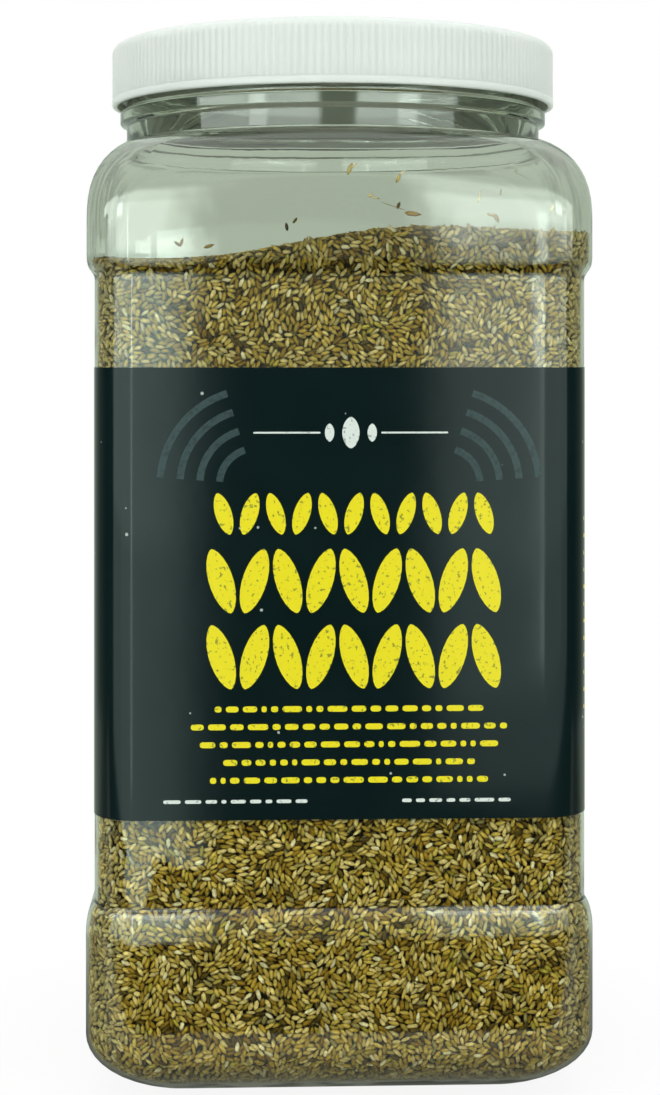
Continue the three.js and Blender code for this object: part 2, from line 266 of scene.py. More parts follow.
class Graph:
    """The nodes of a material, world or light, whose textures follow one output of a source."""

    def __init__(self, owner, source="TexCoord", output="Object"):
        owner.use_nodes = True
        self.tree = owner.node_tree
        self.tree.nodes.clear()
        self.coords = self.add(source, {}).outputs[output]

    def join(self, socket, value):
        """Gives an input a node's first output, any other output, or a value of its own."""
        if isinstance(value, bpy.types.Node):
            value = value.outputs[0]
        if isinstance(value, bpy.types.NodeSocket):
            self.tree.links.new(value, socket)
        else:
            socket.default_value = value

    def add(self, kind, inputs, **properties):
        """A node with its properties set, and then its inputs, by name or by place."""
        node = self.tree.nodes.new(f"ShaderNode{kind}")
        for key, value in properties.items():
            setattr(node, key, value)
        for key, value in inputs.items():
            self.join(node.inputs[key], value)
        return node

    def part(self, axis):
        return self.add("SeparateXYZ", {0: self.coords}).outputs[axis]

    def math(self, operation, a, b):
        return self.add("Math", {0: a, 1: b}, operation=operation)

    def length(self, vector):
        return self.add("VectorMath", {0: vector}, operation="LENGTH").outputs["Value"]

    def noise(self, scale, detail=3.0, roughness=0.55):
        inputs = {"Vector": self.coords, "Scale": scale, "Detail": detail, "Roughness": roughness}
        return self.add("TexNoise", inputs)

    def cells(self, scale):
        """How far each place is from the middle of its cell."""
        return self.add("TexVoronoi", {"Vector": self.coords, "Scale": scale})

    def ramp(self, value, stops, interpolation="LINEAR"):
        """A colour ramp with (position, colour) stops."""
        node = self.add("ValToRGB", {"Fac": value})
        node.color_ramp.interpolation = interpolation
        elements = node.color_ramp.elements
        while len(elements) < len(stops):
            elements.new(0.5)
        for element, (position, colour) in zip(elements, stops):
            element.position = position
            element.color = (*colour, 1)
        return node

    def blend(self, noise, a, b):
        """From one colour to another, over most of what a noise gives."""
        return self.ramp(noise, [(0.3, a), (0.7, b)])

    def mix(self, factor, a, b, kind="MIX"):
        inputs = {"Factor": factor, "A": a, "B": b}
        return self.add("Mix", inputs, data_type="RGBA", blend_type=kind).outputs["Result"]

    def mix_shaders(self, factor, a, b):
        return self.add("MixShader", {"Fac": factor, 1: a, 2: b})

    def by_ray(self, shader, **others):
        """A shader that others take over from, each for one kind of ray."""
        path = self.add("LightPath", {})
        for kind, other in others.items():
            shader = self.mix_shaders(path.outputs[f"Is {kind} Ray"], shader, other)
        return shader


class Surface(Graph):
    """A material with a Principled shader."""

    def __init__(self, name, **values):
        self.material = bpy.data.materials.new(name)
        super().__init__(self.material)
        self.shader = self.add("BsdfPrincipled", {})
        self.set(**values)

    def set(self, **values):
        for key, value in values.items():
            self.join(self.shader.inputs[key.replace("_", " ")], value)

    def bump(self, height, distance, strength=1.0):
        inputs = {"Height": height, "Distance": distance, "Strength": strength}
        self.set(Normal=self.add("Bump", inputs))

    def finish(self):
        self.add("OutputMaterial", {"Surface": self.shader})
        return self.material


def clear_plastic():
    pet = Surface("clear_pet", Base_Color=(0.97, 0.985, 0.965, 1), Roughness=0.015, IOR=1.57,
                  Transmission_Weight=1.0)
    pet.bump(pet.noise(42.0, 2.0), 0.00035, 0.6)
    clear = pet.add("BsdfTransparent", {"Color": (0.96, 0.97, 0.95, 1)})
    tint = pet.add("VolumeAbsorption", {"Color": (0.55, 0.70, 0.50, 1), "Density": 60.0})
    pet.add("OutputMaterial", {"Surface": pet.by_ray(pet.shader, Shadow=clear), "Volume": tint})
    return pet.material


def white_plastic():
    """White plastic, with painted shade inside the lid's closed skirt."""
    white = Surface("white_plastic", IOR=1.5, Subsurface_Weight=1.0, Subsurface_Scale=0.004,
                    Subsurface_Radius=(1.0, 1.0, 1.0))
    mottle = white.noise(60.0, 4.0)
    # Painted shade: inside the skirt and under the top, including the lid's thread, the plastic is
    # coloured dark grey-green instead of pale white.
    flat = white.add("VectorMath", {0: white.coords, 1: (1, 1, 0)}, operation="MULTIPLY")
    outer = white.math("GREATER_THAN", white.length(flat), (LID_INNER_RADIUS + 0.3) * MM)
    upper = white.math("GREATER_THAN", white.part("Z"), (LID_TOP_Z - LID_PLATE / 2) * MM)
    unshaded = white.math("MAXIMUM", outer, upper)
    pale = white.blend(mottle, (0.69, 0.735, 0.71), (0.71, 0.755, 0.73))
    white.set(Base_Color=white.mix(unshaded, (0.33, 0.345, 0.30, 1), pale),
              Roughness=white.blend(mottle, grey(0.36), grey(0.46)))
    white.bump(white.noise(1400.0), 0.00004, 0.5)
    return white.finish()


def foam():
    liner = Surface("foam_liner", Roughness=0.85)
    cells = liner.cells(2200.0)
    liner.set(Base_Color=liner.ramp(cells, [(0.0, grey(0.7)), (0.6, grey(0.88))]))
    liner.bump(cells, 0.0001)
    return liner.finish()


def label_film():
    """Near-black film with a few pale specks."""
    film = Surface("printed_film", IOR=1.42)
    dark = film.blend(film.noise(45.0, 4.0), (0.0022, 0.0088, 0.0090), (0.0036, 0.0115, 0.0118))
    small = film.math("LESS_THAN", film.cells(160.0), 0.07)
    chosen = film.math("GREATER_THAN", film.noise(90.0, 1.0), 0.52)
    specks = film.math("MULTIPLY", small, chosen)
    film.set(Base_Color=film.mix(specks, dark, (0.35, 0.4, 0.38, 1)),
             Roughness=film.blend(film.noise(30.0, 5.0), grey(0.09), grey(0.15)))
    film.bump(film.noise(35.0), 0.00012, 0.5)
    return film.finish()


def ink(name, colour, worn, wear):
    """Printed ink, worn in small flecks where a noise is below the share wear."""
    layer = Surface(name, IOR=1.5, Roughness=0.3)
    flecks = layer.noise(900.0, 4.0, 0.6)
    layer.set(Base_Color=layer.ramp(flecks, [(wear, worn), (wear + 0.05, colour)]))
    layer.bump(flecks, 0.00003, 0.4)
    return layer.finish()


def grain():
    """A grain's own tone, with fine streaks."""
    hull = Surface("seed", IOR=1.2)
    tone = hull.add("Attribute", {}, attribute_name="tone")
    streak = hull.noise(900.0, 3.0, 0.6)
    streaks = hull.blend(streak, (0.62, 0.58, 0.52), (1.25, 1.22, 1.18))
    hull.set(Base_Color=hull.mix(1.0, tone, streaks, "MULTIPLY"),
             Roughness=hull.blend(streak, grey(0.5), grey(0.34)))
    hull.bump(streak, 0.00012, 0.6)
    return hull.finish()


def packed_grain():
    """What shows between the grains: more of them, painted dark as the shade among them."""
    core = Surface("seed_core", Roughness=0.7)
    cells = core.cells(420.0)
    # Painted shade: near-black browns
    core.set(Base_Color=core.ramp(cells, [(0.1, (0.12, 0.075, 0.012)), (0.7, (0.02, 0.012, 0.002))]))
    core.bump(cells, 0.0012)
    return core.finish()


# ---- Jar ----

def levels_between(start, end, low_z, high_z, profile):
    """Levels from one half and corner to another. The profile is shares of the way up and out."""
    return [(lerp(start[0], end[0], out), lerp(start[1], end[1], out), lerp(low_z, high_z, up))
            for up, out in profile]


def body_levels(inset):
    """The body's levels as half, corner and height, moved in by inset."""
    t = np.linspace(0, math.pi / 2, 15)
    foot = zip(1 - np.cos(t) ** (2 / FOOT_POWER), np.sin(t) ** (2 / FOOT_POWER))
    lower, upper = np.subtract(LOWER_STEP_Z, inset), np.add(UPPER_STEP_Z, inset)
    levels = [
        *levels_between(FOOT, LOWER, inset, FOOT_TOP_Z, foot),
        *[(*LOWER, z) for z in (22.0, 30.0, 38.0, 43.0)],
        *levels_between(LOWER, PANEL, *lower, LOWER_STEP),
        *[(*PANEL, z) for z in np.linspace(60, 205, 16)],
        *levels_between(UPPER, PANEL, *upper, UPPER_STEP)[::-1],
        *[(*UPPER, z) for z in (220.0, 223.5, SHOULDER_Z[0])],
    ]
    return [(half - inset, corner - inset, z) for half, corner, z in levels]


def level_rings(inset):
    return [ring(square(half, corner), z) for half, corner, z in body_levels(inset)]


def shoulder_fall(share):
    """How far the shoulder has turned from body to neck, at a share of its height."""
    return 1 - np.sqrt(1 - share ** SHOULDER_POWER)


def shoulder_rings(inset, neck_radius):
    """From the square body to the round neck, with a small fillet at the neck."""
    body, neck = square(UPPER[0] - inset, UPPER[1] - inset), circle(neck_radius)
    top = SHOULDER_Z[1] - inset
    shares = (0.12, 0.24, 0.36, 0.48, 0.58, 0.67, 0.75, 0.82, 0.88, 0.925, 0.96, 0.985, 0.997)
    rings = [ring(lerp(body, neck, shoulder_fall(share)), lerp(SHOULDER_Z[0], top, share))
             for share in shares]
    fillet = [ring(circle(neck_radius + 0.12), top + 0.12), ring(neck, top + FILLET)]
    return rings + fillet


def thread_rise(turn, z):
    """How far the jar's thread stands out of the neck, from 0 to 1, at an angle and a height."""
    rise = np.zeros(len(turn))
    for lap in range(2):
        along = turn + lap
        away = np.abs(z - THREAD_START_Z - PITCH * along) / THREAD_HALF_HEIGHT
        ends = np.clip(np.minimum(along, THREAD_TURNS - along) / THREAD_FADE, 0, 1)
        rise = np.maximum(rise, ends * smoothstep(1 - away, 0, 1 - THREAD_CREST_SHARE))
    return rise


def neck_rings():
    rings = [ring(circle(r), z) for r, z in bead_profile()]
    turn = (np.arctan2(DIRECTIONS[:, 1], DIRECTIONS[:, 0]) / math.tau) % 1
    for z in np.arange(BEAD_Z[3] + 0.6, 272.0, 0.24):
        reach = lerp(NECK_RADIUS, THREAD_CREST, thread_rise(turn, z))
        rings.append(ring(DIRECTIONS * reach[:, None], z))
    return rings


def bead_profile():
    z0, z1, z2, z3 = BEAD_Z
    r, b = NECK_RADIUS, BEAD_RADIUS
    return [(r, z0 - 4.5), (r, z0 - 2.0), (r, z0 - 0.35), (r, z0 - 0.22), (r + 0.12, z0),
            (r + 0.3, z0 + 0.2), (b - 0.25, z1 - 0.25), (b - 0.06, z1 - 0.02), (b, z1 + 0.22),
            (b, z1 + 0.35), (b, z2 - 0.5), (b, z2 - 0.36), (b - 0.08, z2 - 0.12),
            (b - 0.4, z2 + 0.05), (r + 0.3, z3 - 0.05), (r + 0.08, z3 + 0.05), (r, z3 + 0.3)]


def rim_rings():
    """The rounded top of the neck, from the outside over to the inside."""
    inner = NECK_RADIUS - NECK_WALL
    angle = np.linspace(0, math.pi / 2, 5)
    away, rise = RIM_ROUND * (1 - np.cos(angle)), RIM_Z - RIM_ROUND * (1 - np.sin(angle))
    profile = [(NECK_RADIUS, 273.2), *zip(NECK_RADIUS - away, rise),
               *zip(inner + away[::-1], rise[::-1])]
    profile += [(inner, z) for z in (271.0, 266.0, 261.0, 256.0)]
    return [ring(circle(r), z) for r, z in profile]


def push_up_z(half):
    return PUSH_UP_HEIGHT * (1 - smoothstep(half, *PUSH_UP))


def floor_rings(lift):
    """The pushed-up floor from near its middle, with a small moulding nub."""
    rings = []
    for half in (0.8, 1.5, 2.2, 3.2, 6.0, 12.0, 18.0, 21.0, 24.0, 26.5, 29.0, 31.0, 32.2, 33.0):
        nub = 0.5 * (1 - smoothstep(half, 1.5, 2.6))
        corner = half * lerp(0.9, FOOT[1] / FOOT[0], half / PUSH_UP[1])
        rings.append(ring(square(half, corner), push_up_z(half) - nub + lift))
    return rings


def make_jar(material):
    rings = [
        *floor_rings(0),
        ring(square(35.0, 4.8), 0.0),
        *level_rings(0),
        *shoulder_rings(0, NECK_RADIUS),
        *neck_rings(),
        *rim_rings(),
        *shoulder_rings(WALL, NECK_RADIUS - NECK_WALL)[::-1],
        *level_rings(WALL)[::-1],
        *floor_rings(WALL)[::-1],
    ]
    make_piece("jar_shell", *loft(rings), material, "clear_pet", replaces=["jar"])


# ---- Lid and liner ----

def round_ring(radius, z, count):
    angle = math.tau * np.arange(count) / count
    return np.c_[radius * np.cos(angle), radius * np.sin(angle), np.full(count, z)]


def make_lid(material):
    count = RIBS * RIB_SAMPLES
    wave = 0.5 + 0.5 * np.cos(math.tau * np.arange(count) / RIB_SAMPLES)
    ribbed = lerp(*RIB_RADIUS, wave)
    inside, lip, bottom, underside = LID_INNER_RADIUS, LIP_RADIUS, LID_BOTTOM_Z, LID_TOP_Z - LID_PLATE
    profile = [(r, underside) for r in (4.0, 30.0, 56.0, inside - 0.6)]
    profile += [(inside - 0.12, underside - 0.12), (inside, underside - 0.6), (inside, 270.0),
                (inside, bottom + 0.3), (inside + 0.15, bottom), (lip - 0.45, bottom),
                (lip - 0.12, bottom + 0.12), (lip, bottom + 0.5), (lip, LIP_TOP_Z - 0.6),
                (lip - 0.1, LIP_TOP_Z - 0.2), (lip - 0.4, LIP_TOP_Z),
                (lerp(RIB_RADIUS[0], ribbed, 0.2), LIP_TOP_Z + 0.15)]
    profile += [(ribbed, z) for z in (LIP_TOP_Z + 0.4, 267.5, 272.0, RIB_TOP_Z - 1.0)]
    for share in np.linspace(0, 1, 9):
        angle = share * math.pi / 2
        smooth = lerp(RIB_RADIUS[0] + 0.2, ribbed, max(0.0, 1 - share * RIB_FADE))
        profile.append((smooth - LID_EDGE * (1 - math.cos(angle)),
                        LID_TOP_Z - LID_EDGE * (1 - math.sin(angle))))
    profile += [(r, LID_TOP_Z) for r in (56.0, 40.0, 15.0, 3.0)]
    rings = [round_ring(r, z, count) for r, z in profile]
    make_piece("lid_shell", *loft(rings), material, "white_plastic", "lid", ["lid"])


def make_lid_thread(material):
    """The ridge inside the lid, along a helix, running out at both ends."""
    start, end = LID_THREAD_TURNS
    root, crest = LID_THREAD_RADIUS
    turn = np.linspace(start, end, 160)
    fade = np.clip(np.minimum(turn - start, end - turn) / THREAD_FADE, 0, 1)
    # Shares of the ridge's depth and half height, from its underside over its crest
    depth = np.array([0.0, 0.8, 1.0, 1.0, 0.8, 0.0])
    rise = np.array([-1.0, -0.62, -0.4, 0.4, 0.62, 1.0]) * LID_THREAD_HALF_HEIGHT
    rings = []
    for t, tip in zip(turn, lerp(root - 0.4, crest, fade)):
        reach, angle = lerp(root, tip, depth), math.tau * t
        rings.append(np.c_[reach * math.cos(angle), reach * math.sin(angle),
                           LID_THREAD_START_Z + PITCH * t + rise])
    make_piece("lid_thread", *loft(rings), material, "white_plastic", "lid")


def make_liner(material):
    low, high = LINER_Z
    edge = ((20.0, 0.0), (50.0, 0.0), (LINER_RADIUS - 0.3, 0.0), (LINER_RADIUS - 0.05, 0.15),
            (LINER_RADIUS, 0.4))
    profile = [(r, low + up) for r, up in edge] + [(r, high - up) for r, up in edge[::-1]]
    rings = [round_ring(r, z, LINER_SIDES) for r, z in profile]
    make_piece("liner_disc", *loft(rings), material, "foam_liner", "liner", ["liner"])


# ---- Label ----

def make_label(material):
    """A strip round the panel, whose last end laps over its first at the middle of the back."""
    around = perimeter(LABEL_HALF, LABEL_CORNER)
    distance = np.linspace(-around / 2, around / 2 + LABEL_OVERLAP, LABEL_SAMPLES)
    climb = smoothstep(distance, around / 2 - LABEL_CLIMB[0], around / 2 - LABEL_CLIMB[1])
    lapped = climb * (LABEL_THICKNESS + 0.03)
    place, normal = on_outline(distance, LABEL_HALF, LABEL_CORNER)
    near = place + normal * lapped[:, None]
    far = near + normal * LABEL_THICKNESS
    low, high = LABEL_Z
    levels = [low, low + 0.04, low + 0.5, *np.linspace(low, high, 7)[1:-1], high - 0.5, high - 0.04,
              high]
    rings = []
    for a, b in zip(near, far):
        up = [(*b, z) for z in levels]
        down = [(*a, z) for z in (high, high - 0.04, 130.0, low + 0.04, low)]
        rings.append(np.array(down + up))
    make_piece("label_wrap", *loft(rings), material, "printed_film", replaces=["label"])


def ribbon(path, widths):
    """A flat printed stroke along a path of (along, height) points, with a width at each. Along
    is measured on the label, from the middle of the front."""
    path = np.asarray(path, float)
    ahead = unit(np.gradient(path, axis=0))
    across = np.c_[-ahead[:, 1], ahead[:, 0]] * np.asarray(widths)[:, None] / 2
    base = LABEL_HALF + LABEL_THICKNESS
    corners = []
    for flat, lift in ((path - across, 0), (path + across, 0), (path + across, 1), (path - across, 1)):
        place, normal = on_outline(flat[:, 0], base, LABEL_CORNER + LABEL_THICKNESS)
        out = PRINT_THICKNESS * (lift - 0.4)
        corners.append(np.c_[place + normal * out, flat[:, 1]])
    return loft(np.stack(corners, 1)[:, ::-1])


def print_shapes(name, ribbons, material):
    points, faces = [], {3: [], 4: []}
    for shape_points, shape_faces in ribbons:
        for face in shape_faces:
            faces[face.shape[1]].append(face + len(points))
        points.extend(shape_points)
    faces = [np.concatenate(f) for f in faces.values()]
    make_piece(name, points, faces, material, "printed_film", smooth=False)


def leaf(x, z, length, width, lean=0.0, sections=12):
    """A pointed oval, upright where its lean is 0."""
    turn = np.linspace(-1, 1, sections) * math.pi / 2
    run = np.sin(turn) * length / 2
    path = np.c_[x + run * math.sin(lean), z + run * math.cos(lean)]
    return ribbon(path, np.maximum(width * np.cos(turn) ** 1.25, 0.04))


def bar(x, z, length, height):
    """A short level dash with rounded ends."""
    tip = min(height / 2, length / 3)
    run = np.array([0, 0.3 * tip, tip, length - tip, length - 0.3 * tip, length])
    path = np.c_[x - length / 2 + run, np.full(len(run), z)]
    return ribbon(path, height * np.array([0.35, 0.8, 1, 1, 0.8, 0.35]))


def arc(x, z, radius, start, end, width):
    """Part of a circle, between two angles from straight up."""
    angle = np.linspace(start, end, 28)
    path = np.c_[x + radius * np.sin(angle), z + radius * np.cos(angle)]
    return ribbon(path, np.full(len(angle), width))


def grain_rows():
    """Staggered rows of large leaning grains, the label's main figure."""
    rows = ((152.0, 11, 11.0, 4.2, 6.6), (135.0, 9, 17.0, 6.2, 8.4), (115.8, 9, 17.0, 6.2, 8.4))
    return [leaf((i - (count - 1) / 2) * pitch + 3.0, z, tall, wide, 0.3 if i % 2 else -0.3)
            for z, count, tall, wide, pitch in rows for i in range(count)]


def dash_lines(x, top, lines, height, pitch, widths, align=0.5):
    """Rows of short dashes of uneven length, with x at this share of each row."""
    shapes = []
    for row in range(lines):
        dashes = []
        room = widths[row % len(widths)]
        while sum(dashes) + DASH_GAP * len(dashes) < room:
            dashes.append(float(random.uniform(*DASH_LENGTHS)))
        run = sum(dashes) + DASH_GAP * (len(dashes) - 1)
        start = x - run * align
        for length in dashes:
            shapes.append(bar(start + length / 2, top - row * pitch, length, height))
            start += length + DASH_GAP
    return shapes


def make_prints():
    yellow = ink("ink_yellow", (0.75, 0.655, 0.0), (0.25, 0.25, 0.015), 0.37)
    white = ink("ink_white", (0.64, 0.70, 0.66), (0.26, 0.30, 0.29), 0.37)
    tonal = ink("ink_tonal", (0.018, 0.040, 0.042), (0.006, 0.018, 0.019), 0.42)
    front = grain_rows() + dash_lines(1.8, 102.6, 5, 1.5, 4.5, (66, 80, 76, 64, 70))
    print_shapes("print_yellow_front", front, yellow)
    quarter = perimeter(LABEL_HALF, LABEL_CORNER) / 4
    sides = []
    for start in (-quarter - 48.0, quarter - 56.0, 2 * quarter - 48.0):
        sides += dash_lines(start, 150.0, 12, 1.1, 4.4, (88, 96, 80, 94, 90, 70), 0.0)
    print_shapes("print_yellow_sides", sides, yellow)
    small = dash_lines(-27.0, 79.3, 1, 0.9, 4.0, (36,)) + dash_lines(29.0, 79.3, 1, 0.9, 4.0, (28,))
    small += [bar(x, 172.5, 17.0, 0.45) for x in (-14.0, 18.4)]
    small += [leaf(2.2, 172.5, 8.0, 4.4)] + [leaf(2.2 + x, 172.5, 4.6, 2.4) for x in (-5.4, 5.4)]
    for middle in (-quarter, quarter):
        small += [bar(middle, 160.0, 60.0, 0.5), bar(middle, 90.0, 60.0, 0.5)]
    print_shapes("print_white", small, white)
    faint = [arc(x, 159.5, radius, start, end, 1.8)
             for x, start, end in ((-22.0, -1.5, -0.3), (26.0, 0.3, 1.5))
             for radius in (9.0, 14.0, 19.0, 24.0)]
    print_shapes("print_tonal", faint, tonal)


# ---- Seed ----

def seed_level(x, y):
    climb = smoothstep(x, *SEED_SLOPE_X)
    dip = SEED_DIP * smoothstep(x, SEED_SLOPE_X[1], PANEL[0])
    mound = SEED_MOUND * np.cos(math.pi * y / (2 * UPPER[0]))
    return lerp(SEED_LOW_Z, SEED_HIGH_Z, climb) - dip + mound


class Wall:
    """The jar's inner wall as a sheet: a distance along it and a distance up it."""

    def __init__(self):
        levels = np.array(body_levels(WALL))
        steps = np.hypot(np.diff(levels[:, 0]), np.diff(levels[:, 2]))
        self.up = np.concatenate([[0], np.cumsum(steps)])
        self.half, self.corner, self.z = levels.T
        self.around = perimeter(LOWER[0] - WALL, LOWER[1] - WALL)

    def at(self, up):
        return [np.interp(up, self.up, v) for v in (self.half, self.corner, self.z)]

    def up_of(self, z):
        return float(np.interp(z, self.z, self.up))

    def stretch(self, up):
        """The true length of a step along the sheet, as a share of its nominal length."""
        half, corner, _ = self.at(up)
        return perimeter(half, corner) / self.around

    def frames(self, along, up):
        """Points on the wall with their level, rising and outward directions."""
        half, corner, z = self.at(up)
        place, normal = on_outline(along * self.stretch(up), half, corner)
        a, b = self.at(up - 0.4), self.at(up + 0.4)
        out, rise = b[0] - a[0], b[2] - a[2]
        size = np.maximum(np.hypot(out, rise), 1e-6)
        out, rise = out / size, rise / size
        level = np.c_[-normal[:, 1], normal[:, 0], np.zeros(len(along))]
        rising = np.c_[normal * out[:, None], rise]
        outward = np.c_[normal * rise[:, None], -out]
        return np.c_[place, z], level, rising, outward


def close_pairs(points, cell):
    """Pairs of points in the same or in neighbouring cells of a grid."""
    grid = np.floor(points / cell).astype(np.int64)
    grid -= grid.min(0) - 1
    rows = grid[:, 1].max() + 2
    key = grid[:, 0] * rows + grid[:, 1]
    order = np.argsort(key, kind="stable")
    keys = key[order]
    index = np.arange(len(keys))
    firsts, seconds = [], []
    for shift in (0, 1, rows - 1, rows, rows + 1):
        start = index + 1 if shift == 0 else np.searchsorted(keys, keys + shift)
        for k in range(5):
            other = start + k
            ok = other < len(keys)
            ok[ok] = keys[other[ok]] == keys[ok] + shift
            firsts.append(order[index[ok]])
            seconds.append(order[other[ok]])
    return np.concatenate(firsts), np.concatenate(seconds)


# While grains settle, each is three discs, placed by shares of its length and with radii by
# shares of its width. Discs that overlap push and turn their grains, up to a limit each round.
DISC_PLACES = (-0.31, 0.0, 0.31)
DISC_RADII = (0.38, 0.5, 0.38)
DISC_CELL = 1.35
PUSH, PUSH_LIMIT = 0.45, 0.35
TWIST, TWIST_LIMIT = 0.55, 0.2


def settle(at, angle, size, stretch, rounds):
    """Moves and turns grains that lie on a sheet until they fit side by side."""
    count = len(at)
    radius = (size[:, 1:2] * np.array(DISC_RADII)).ravel()
    owner = np.repeat(np.arange(count), 3)
    for _ in range(rounds):
        heading = np.stack([np.cos(angle), np.sin(angle)], 1)
        arm = (heading[:, None] * (size[:, :1] * DISC_PLACES)[..., None]).reshape(-1, 2)
        true = np.c_[stretch(at[:, 1]), np.ones(count)]
        discs = at[owner] + arm / true[owner]
        i, j = close_pairs(discs, DISC_CELL)
        keep = owner[i] != owner[j]
        i, j = i[keep], j[keep]
        gap = (discs[j] - discs[i]) * true[owner[i]]
        apart = np.maximum(np.hypot(*gap.T), 1e-6)
        over = radius[i] + radius[j] - apart
        keep = over > 0
        i, j, over = i[keep], j[keep], over[keep]
        push = gap[keep] * (0.5 * over / apart[keep])[:, None]
        for disc, force in ((i, -push), (j, push)):
            who = owner[disc]
            twist = arm[disc, 0] * force[:, 1] - arm[disc, 1] * force[:, 0]
            for axis in (0, 1):
                moved = np.bincount(who, force[:, axis], count) * PUSH
                at[:, axis] += np.clip(moved, -PUSH_LIMIT, PUSH_LIMIT) / true[:, axis]
            angle += np.clip(np.bincount(who, twist, count) * TWIST, -TWIST_LIMIT, TWIST_LIMIT)
    return at, angle


def swirl(x, y, seed):
    """A slowly turning direction, so that neighbouring grains lie roughly alike."""
    field = np.random.default_rng(seed)
    angle = np.zeros(len(x))
    for wave in (0.06, 0.11, 0.2, 0.33):
        for _ in range(3):
            way, phase = field.uniform(0, math.tau), field.uniform(0, math.tau)
            angle += field.uniform(0.5, 1.0) * np.sin(
                wave * (x * math.cos(way) + y * math.sin(way)) + phase)
    return angle


def scattered(width, height, area):
    """A jittered grid of points over a sheet."""
    pitch = math.sqrt(area)
    columns, rows = int(width / pitch), int(height / pitch)
    x, y = np.meshgrid(np.arange(columns) + 0.5, np.arange(rows) + 0.5)
    at = np.c_[x.ravel() * width / columns, y.ravel() * height / rows]
    return at + random.uniform(-0.5, 0.5, at.shape) * pitch


def sizes_for(count):
    """Lengths, widths and thicknesses of grains: some are thin, and a few are small."""
    size = SEED_SIZE + random.normal(0, 1, (count, 3)) * SEED_SPREAD
    return np.clip(size, SEED_SIZE * 0.72, SEED_SIZE * 1.3)


# A grain's sides, and its sections between its two points: place along it and share of width
FINE_GRAIN = (5, ((-0.26, 0.94), (0.19, 0.97)))
PLAIN_GRAIN = (4, ((-0.03, 1.0),))


def grain_mesh(shape, centre, axis, side, up, size):
    """Points and triangles of many pointed grains. axis, side and up are their own directions."""
    n, sections = shape
    turn = math.pi / 2 + math.tau * np.arange(n) / n
    local = [(-0.5, 0.0, 0.0)]
    for along, wide in sections:
        local += [(along, 0.5 * wide * math.cos(a), 0.5 * wide * math.sin(a)) for a in turn]
    local.append((0.54, 0.0, 0.0))
    parts = np.array(local)[None] * size[:, None]
    points = (centre[:, None] + parts[..., :1] * axis[:, None] + parts[..., 1:2] * side[:, None]
              + parts[..., 2:] * up[:, None])
    i = np.arange(n)
    after = (i + 1) % n
    last = n * len(sections) + 1
    triangles = [fan(0, 1 + after, 1 + i)]
    for first in range(1, last - n, n):
        triangles.append(np.stack([first + i, first + after, first + n + after], 1))
        triangles.append(np.stack([first + i, first + n + after, first + n + i], 1))
    triangles.append(fan(last, last - n + i, last - n + after))
    offsets = np.arange(len(centre))[:, None, None] * (last + 1)
    return points.reshape(-1, 3), (np.concatenate(triangles)[None] + offsets).reshape(-1, 3)


# Hull colours and how common each is
HULLS = np.array([
    (0.66, 0.465, 0.10), (0.84, 0.645, 0.25), (0.50, 0.325, 0.042), (0.33, 0.19, 0.016),
    (0.12, 0.074, 0.008), (0.40, 0.32, 0.11), (0.95, 0.82, 0.50), (0.50, 0.39, 0.05),
])
HULL_SHARES = np.array([0.30, 0.23, 0.20, 0.11, 0.06, 0.03, 0.04, 0.03])
# Shares of a grain's colour along its crown as a painted highlight, under it as painted shade, and at
# its two tips
PAINTED_CROWN_HIGHLIGHT, PAINTED_UNDERSIDE_SHADE = 1.05, 0.38
TIP_TONES = (0.5, 0.72)
# A pale haze painted on the grains where the wall rounds, in place of reflected light, and how
# strongly it is mixed in
PAINTED_HAZE = (0.44, 0.39, 0.22)
PAINTED_HAZE_SHARE = 0.45
PAINTED_STRIP_SHADE = 0.72  # painted shade: the grains above the upper step are coloured darker, as if the lid shaded them
STRIP_Z = (211.0, 216.0)


def grain_tones(points, outward, shape, painted_shading, kind=None):
    """A colour for each point of each grain, with a painted highlight along its crown and painted
    shade under it. Grains are paler and greyer where the wall rounds, at the upright corners and round
    the foot, as a painted haze of reflected light."""
    count = len(points)
    if kind is None:
        kind = random.choice(len(HULLS), count, p=HULL_SHARES)
    tone = HULLS[kind] * random.uniform(0.78, 1.25, (count, 1)) * painted_shading
    # Painted shade over the grains above the upper step
    tone *= lerp(1.0, PAINTED_STRIP_SHADE, smoothstep(points[:, 2], *STRIP_Z))[:, None]
    # Painted haze of reflected light at the upright corners and round the foot
    corner = smoothstep(np.minimum(*np.abs(outward[:, :2]).T), 0.25, 0.55)
    foot = smoothstep(-points[:, 2], -15.0, -5.0)
    tone = lerp(tone, np.array(PAINTED_HAZE), PAINTED_HAZE_SHARE * np.maximum(corner, foot)[:, None])
    sides, sections = shape
    # Painted highlight and shade round each grain: brightest on the side facing out of the filling,
    # darkest on the side facing in.
    crown = np.cos(math.tau * np.arange(sides) / sides)
    painted_round_shading = lerp(PAINTED_UNDERSIDE_SHADE, PAINTED_CROWN_HIGHLIGHT, (crown + 1) / 2)
    part = np.concatenate([[TIP_TONES[0]], np.tile(painted_round_shading, len(sections)), [TIP_TONES[1]]])
    return (tone[:, None] * part[None, :, None]).reshape(-1, 3)


def turned(a, b, angle):
    """Directions a, turned by an angle towards directions b."""
    return a * np.cos(angle)[:, None] + b * np.sin(angle)[:, None]


